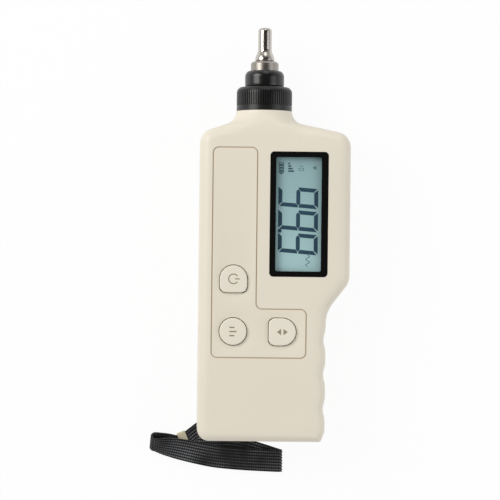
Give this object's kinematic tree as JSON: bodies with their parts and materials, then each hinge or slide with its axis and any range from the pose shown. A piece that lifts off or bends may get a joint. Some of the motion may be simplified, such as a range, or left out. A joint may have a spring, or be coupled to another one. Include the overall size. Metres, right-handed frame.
{
  "type": "handheld vibration meter",
  "caption": "Flat beige handheld meter with an upright display, round keys, scooped grip, ribbed collar nut and a steel contact tip, with a black wrist strap.",
  "frame": {"origin": "middle of the bounding box of everything but the strap, on the floor under the back of the case", "axes": "+X to the right of a reader of the panel, +Y towards the contact tip, +Z out of the front panel"},
  "size_m": [0.0885, 0.1983, 0.03],
  "materials": {
    "shell": "warm light beige moulded plastic, fine satin",
    "shell_back": "warm light beige moulded plastic, fine satin",
    "keys": "light beige rubberised plastic, satin",
    "black_plastic": "black moulded plastic, satin",
    "bezel": "black printed border, gloss",
    "window": "clear plastic window",
    "screen": "grey-green reflective display",
    "white_plastic": "white moulded plastic",
    "board": "green solder resist",
    "black_parts": "black moulded packages",
    "blue_parts": "blue trimmer bodies",
    "aluminium": "plain aluminium can",
    "rubber": "soft black rubber",
    "grey_rubber": "grey silicone rubber",
    "steel": "turned stainless steel, satin",
    "bright_steel": "turned and polished steel",
    "brass": "plain brass",
    "ceramic": "fired ceramic",
    "battery_wrap": "plain lacquered steel jacket",
    "lead_red": "insulated leads",
    "clip": "cream lacquered sheet metal, satin",
    "webbing": "black ribbed webbing",
    "ring_plastic": "slippery white plastic"
  },
  "bodies": {
    "case": {"front_case": "shell", "rear_case": "shell_back", "display_window": "window", "window_bezel": "bezel", "keypad_membrane": "grey_rubber", "main_board": "board", "lcd_panel": "screen", "lcd_frame": "white_plastic", "backlight": "white_plastic", "zebra_strips": "grey_rubber", "integrated_circuits": "black_parts", "board_capacitors": "aluminium", "calibration_trimmers": "blue_parts", "output_jack": "black_parts", "battery": "battery_wrap", "battery_snap": "black_parts", "battery_leads": "lead_red", "sensor_housing": "black_plastic", "gland_seal": "rubber", "sensor_base": "steel", "isolation_ring": "ring_plastic", "piezo_rings": "ceramic", "seismic_mass": "steel", "preload_nut": "brass", "sensor_can": "steel", "sensor_cable": "black_parts", "case_screws": "steel", "board_screws": "steel", "strap_bar": "steel", "strap_eye": "webbing", "strap_clip": "clip", "wrist_strap": "webbing"},
    "measure_key": {"measure_button": "keys", "measure_pill": "rubber"},
    "mode_key": {"mode_button": "keys", "mode_pill": "rubber"},
    "range_key": {"range_button": "keys", "range_pill": "rubber"},
    "door": {"battery_door": "shell_back", "door_pad": "rubber"},
    "ring": {"slip_ring": "ring_plastic"},
    "nut": {"collar_nut": "black_plastic"},
    "washer": {"tip_washer": "steel"},
    "tip": {"probe_tip": "bright_steel"}
  },
  "joints": [
    {"name": "measure_press", "type": "slide", "parent": "case", "child": "measure_key", "axis": [0, 0, -1], "range_m": [0, 0.0008], "stiffness_N_per_m": 200},
    {"name": "mode_press", "type": "slide", "parent": "case", "child": "mode_key", "axis": [0, 0, -1], "range_m": [0, 0.0008], "stiffness_N_per_m": 200},
    {"name": "range_press", "type": "slide", "parent": "case", "child": "range_key", "axis": [0, 0, -1], "range_m": [0, 0.0008], "stiffness_N_per_m": 200},
    {"name": "door_hinge", "type": "hinge", "parent": "case", "child": "door", "pos_m": [-0.00385, -0.0315, 0.0014], "axis": [1, 0, 0], "range_deg": [0, 80]},
    {"name": "nut_advance", "type": "slide", "parent": "case", "child": "ring", "axis": [0, 1, 0], "range_m": [0, 0.0045]},
    {"name": "nut_turn", "type": "hinge", "parent": "ring", "child": "nut", "pos_m": [-0.0051, 0.0595, 0.0145], "axis": [0, 1, 0], "range_deg": [0, 1080]},
    {"name": "tip_advance", "type": "slide", "parent": "case", "child": "washer", "axis": [0, 1, 0], "range_m": [0, 0.0056]},
    {"name": "tip_turn", "type": "hinge", "parent": "washer", "child": "tip", "pos_m": [-0.0051, 0.0805, 0.0145], "axis": [0, 1, 0], "range_deg": [0, 2520]}
  ],
  "couplings": [
    {"joint": "nut_turn", "follows": "nut_advance", "rad_per_m": 4188.8},
    {"joint": "tip_turn", "follows": "tip_advance", "rad_per_m": 7854}
  ]
}
